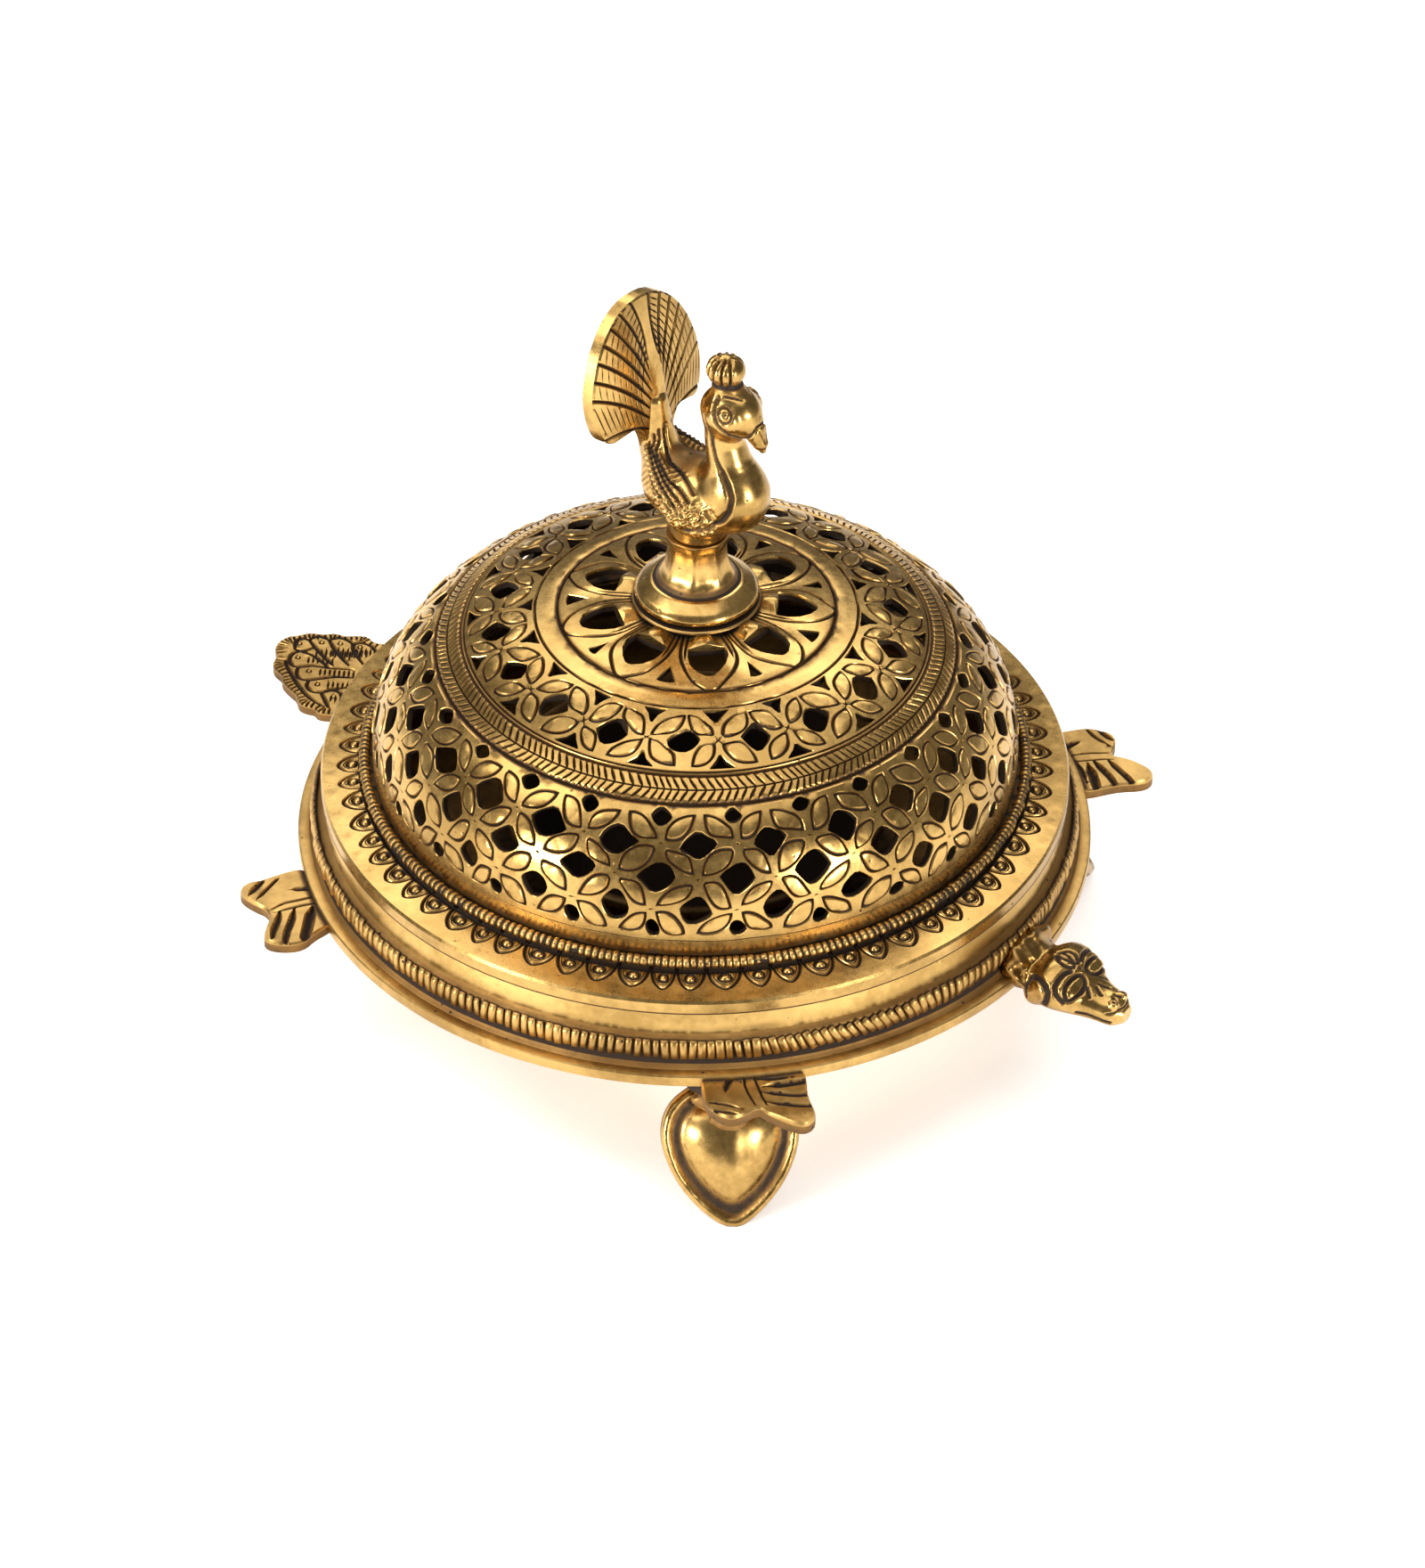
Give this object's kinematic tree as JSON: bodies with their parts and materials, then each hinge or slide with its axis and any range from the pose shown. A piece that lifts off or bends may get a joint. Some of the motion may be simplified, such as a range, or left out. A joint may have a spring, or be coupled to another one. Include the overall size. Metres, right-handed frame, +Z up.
{
  "type": "incense burner",
  "caption": "Footed brass incense dish shaped as a tortoise, with a pierced lift-off dome lid, a bird finial and a loose ember cup inside.",
  "frame": {"origin": "on the ground under the middle of the dish", "axes": "+Z up; +X towards the tortoise's head, which the bird also faces; +Y to the tortoise's left"},
  "size_m": [0.1864, 0.144, 0.1376],
  "materials": {
    "plain_brass": "satin, lightly toned",
    "chased_brass": "satin with dark patina in the chasing",
    "aged_brass": "worn high spots over brown patina",
    "bright_brass": "rubbed bright, patina in the hollows",
    "sooty_brass": "heat-darkened"
  },
  "bodies": {
    "base": {"base_dish": "plain_brass", "milled_band": "aged_brass", "shell_plate": "aged_brass", "head": "bright_brass", "tail_fan": "aged_brass", "flipper_front_left": "aged_brass", "flipper_front_right": "aged_brass", "flipper_rear_left": "aged_brass", "flipper_rear_right": "aged_brass", "foot_front_left": "bright_brass", "foot_front_right": "bright_brass", "foot_rear": "bright_brass"},
    "lid": {"lid_dome": "chased_brass", "lid_flange": "chased_brass", "rope_ring": "aged_brass", "lid_spigot": "plain_brass", "finial_washer_top": "aged_brass", "finial_pedestal": "bright_brass", "peacock": "bright_brass", "finial_washer_inner": "sooty_brass", "finial_nut": "sooty_brass"},
    "cup": {"ember_cup": "sooty_brass"}
  },
  "joints": [
    {"name": "lid_lift", "type": "slide", "parent": "base", "child": "lid", "axis": [0, 0, 1], "range_m": [0, 0.08]},
    {"name": "ember_cup_lift", "type": "slide", "parent": "base", "child": "cup", "axis": [0, 0, 1], "range_m": [0, 0.028]}
  ]
}
